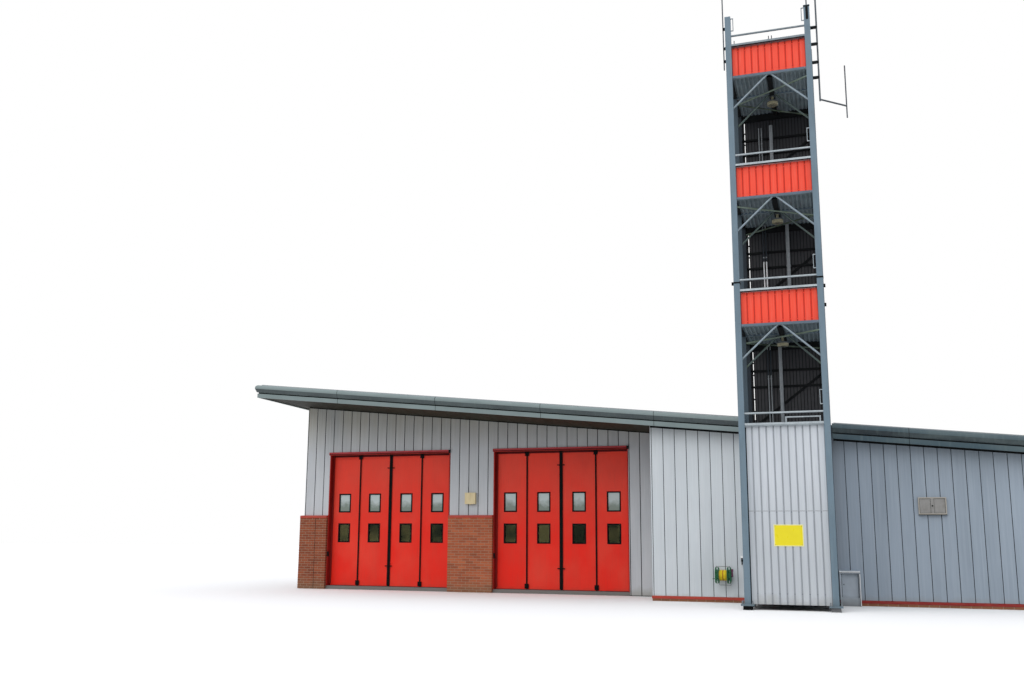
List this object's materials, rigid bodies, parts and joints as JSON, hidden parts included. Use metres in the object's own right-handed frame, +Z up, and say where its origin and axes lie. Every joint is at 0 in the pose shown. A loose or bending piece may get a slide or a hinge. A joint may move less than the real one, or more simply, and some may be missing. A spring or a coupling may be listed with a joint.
{
  "type": "fire station building",
  "caption": "Two-bay fire station with red folding doors, a sloping monopitch roof, a clad wing and an open steel drill tower with red infill panels.",
  "frame": {"origin": "on the ground under the corner where the wing front meets the step back to the bay front", "axes": "+X runs along the front towards the wing's free end, +Y into the building, +Z up"},
  "size_m": [23.27, 16.576, 15.163],
  "materials": {
    "concrete": "floated concrete",
    "light_cladding": "satin coated steel planks, light grey",
    "brick": "red facing brick with pale joints",
    "red_trim": "gloss red coated steel",
    "red_door": "satin red paint on steel",
    "door_glass": "clear glass, dark hall behind",
    "black_rubber": "matt black",
    "roof_sheet": "coated roof sheet",
    "fascia": "blue-grey coated steel",
    "soffit": "dark grey-brown boards",
    "tower_steel": "blue-grey paint on steel",
    "tower_sheet": "light grey profiled sheet",
    "red_sheet": "red profiled sheet",
    "galvanised": "galvanised steel",
    "lamp": "yellowed diffuser",
    "cream_plastic": "cream moulding",
    "cabinet": "warm grey paint",
    "yellow_plate": "plain yellow",
    "green_plastic": "dark green moulding"
  },
  "bodies": {
    "root": {"floor_slab": "concrete", "bay_wall_piers": "light_cladding", "bay_wall_over_doors": "light_cladding", "step_return_wall": "light_cladding", "wing_front_wall": "light_cladding", "left_end_wall": "light_cladding", "right_end_wall": "light_cladding", "back_wall": "light_cladding", "brick_piers": "brick", "brick_plinth_left_end": "brick", "brick_plinth_back": "brick", "brick_base_course": "brick", "plinth_flashing": "red_trim", "wing_drip_trim": "red_trim", "door_1_surround": "red_door", "door_2_surround": "red_door", "door_1_leaves": "red_door", "door_2_leaves": "red_door", "door_glazing": "door_glass", "window_rubbers": "black_rubber", "door_seals": "black_rubber", "roof_deck": "roof_sheet", "roof_fascia_front": "fascia", "roof_fascia_back": "fascia", "roof_verge_left": "fascia", "roof_verge_right": "fascia", "soffit_canopy": "soffit", "soffit_wing": "soffit", "soffit_back": "soffit", "soffit_ends": "soffit", "tower_columns_front": "tower_steel", "tower_columns_rear": "tower_steel", "tower_side_posts": "tower_steel", "tower_platform_1": "tower_steel", "tower_platform_2": "tower_steel", "tower_platform_3": "tower_steel", "tower_platform_4": "tower_steel", "tower_lower_cladding": "tower_sheet", "tower_red_panels": "red_sheet", "tower_rear_cladding": "tower_sheet", "tower_rear_girts": "tower_steel", "tower_knee_braces": "galvanised", "tower_plan_braces": "galvanised", "tower_handrails": "galvanised", "dry_riser": "galvanised", "platform_lamps": "lamp", "aerial_mast": "galvanised", "aerial_whip": "galvanised", "alarm_box": "cream_plastic", "wing_cabinet": "cabinet", "notice_plate": "yellow_plate", "riser_inlet_box": "cabinet", "hose_reel": "green_plastic", "outside_tap": "cabinet"}
  },
  "joints": []
}
